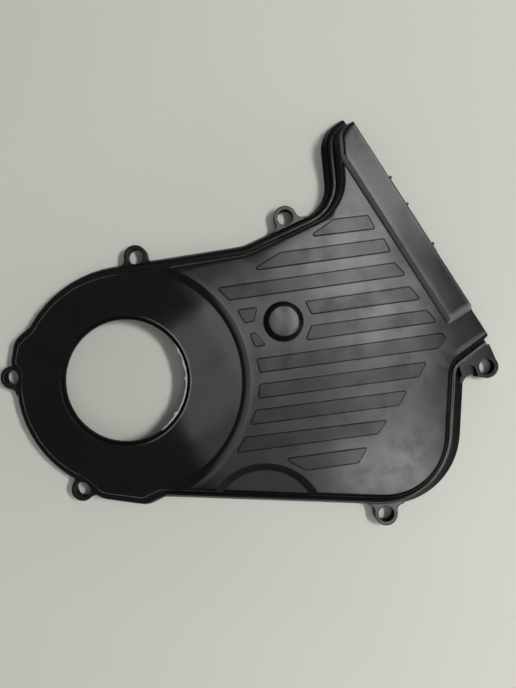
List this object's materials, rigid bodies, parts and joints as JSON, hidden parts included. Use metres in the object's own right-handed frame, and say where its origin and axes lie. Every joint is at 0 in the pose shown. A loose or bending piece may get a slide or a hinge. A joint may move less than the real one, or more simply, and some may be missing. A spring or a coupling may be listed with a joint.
{
  "type": "timing cover",
  "caption": "Moulded black plastic lower timing cover with a round crank opening, bolt ears, a rounded sealing foot, a ribbed face and a straight open joint edge.",
  "frame": {"origin": "middle of the outline's box on the engine face", "axes": "+Z points away from the engine, +X runs from the crank opening towards the right ear, +Y towards the neck"},
  "size_m": [0.303, 0.2482, 0.024],
  "materials": {
    "cover": "satin black moulded plastic"
  },
  "bodies": {
    "root": {"cover": "cover"}
  },
  "joints": []
}
